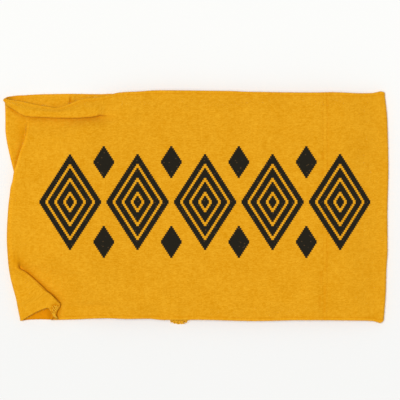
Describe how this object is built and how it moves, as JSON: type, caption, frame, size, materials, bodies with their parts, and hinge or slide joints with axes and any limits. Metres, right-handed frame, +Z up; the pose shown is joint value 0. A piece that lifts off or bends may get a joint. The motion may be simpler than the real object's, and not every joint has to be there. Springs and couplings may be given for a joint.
{
  "type": "armband",
  "caption": "Knitted cloth armband lying flat: a short wide cloth tube with open mouths, one lower corner pleated over the front.",
  "frame": {"origin": "on the surface the band lies on, under the middle of the band's bounding box", "axes": "+X runs across the band along its width when flat, +Y runs along the arm towards the mouth with the rolled edge, +Z is up, from the back layer to the front layer"},
  "size_m": [0.1934, 0.1166, 0.0074],
  "materials": {
    "knitted_cloth": "matt fine-gauge knit"
  },
  "bodies": {
    "root": {"band": "knitted_cloth"}
  },
  "joints": []
}
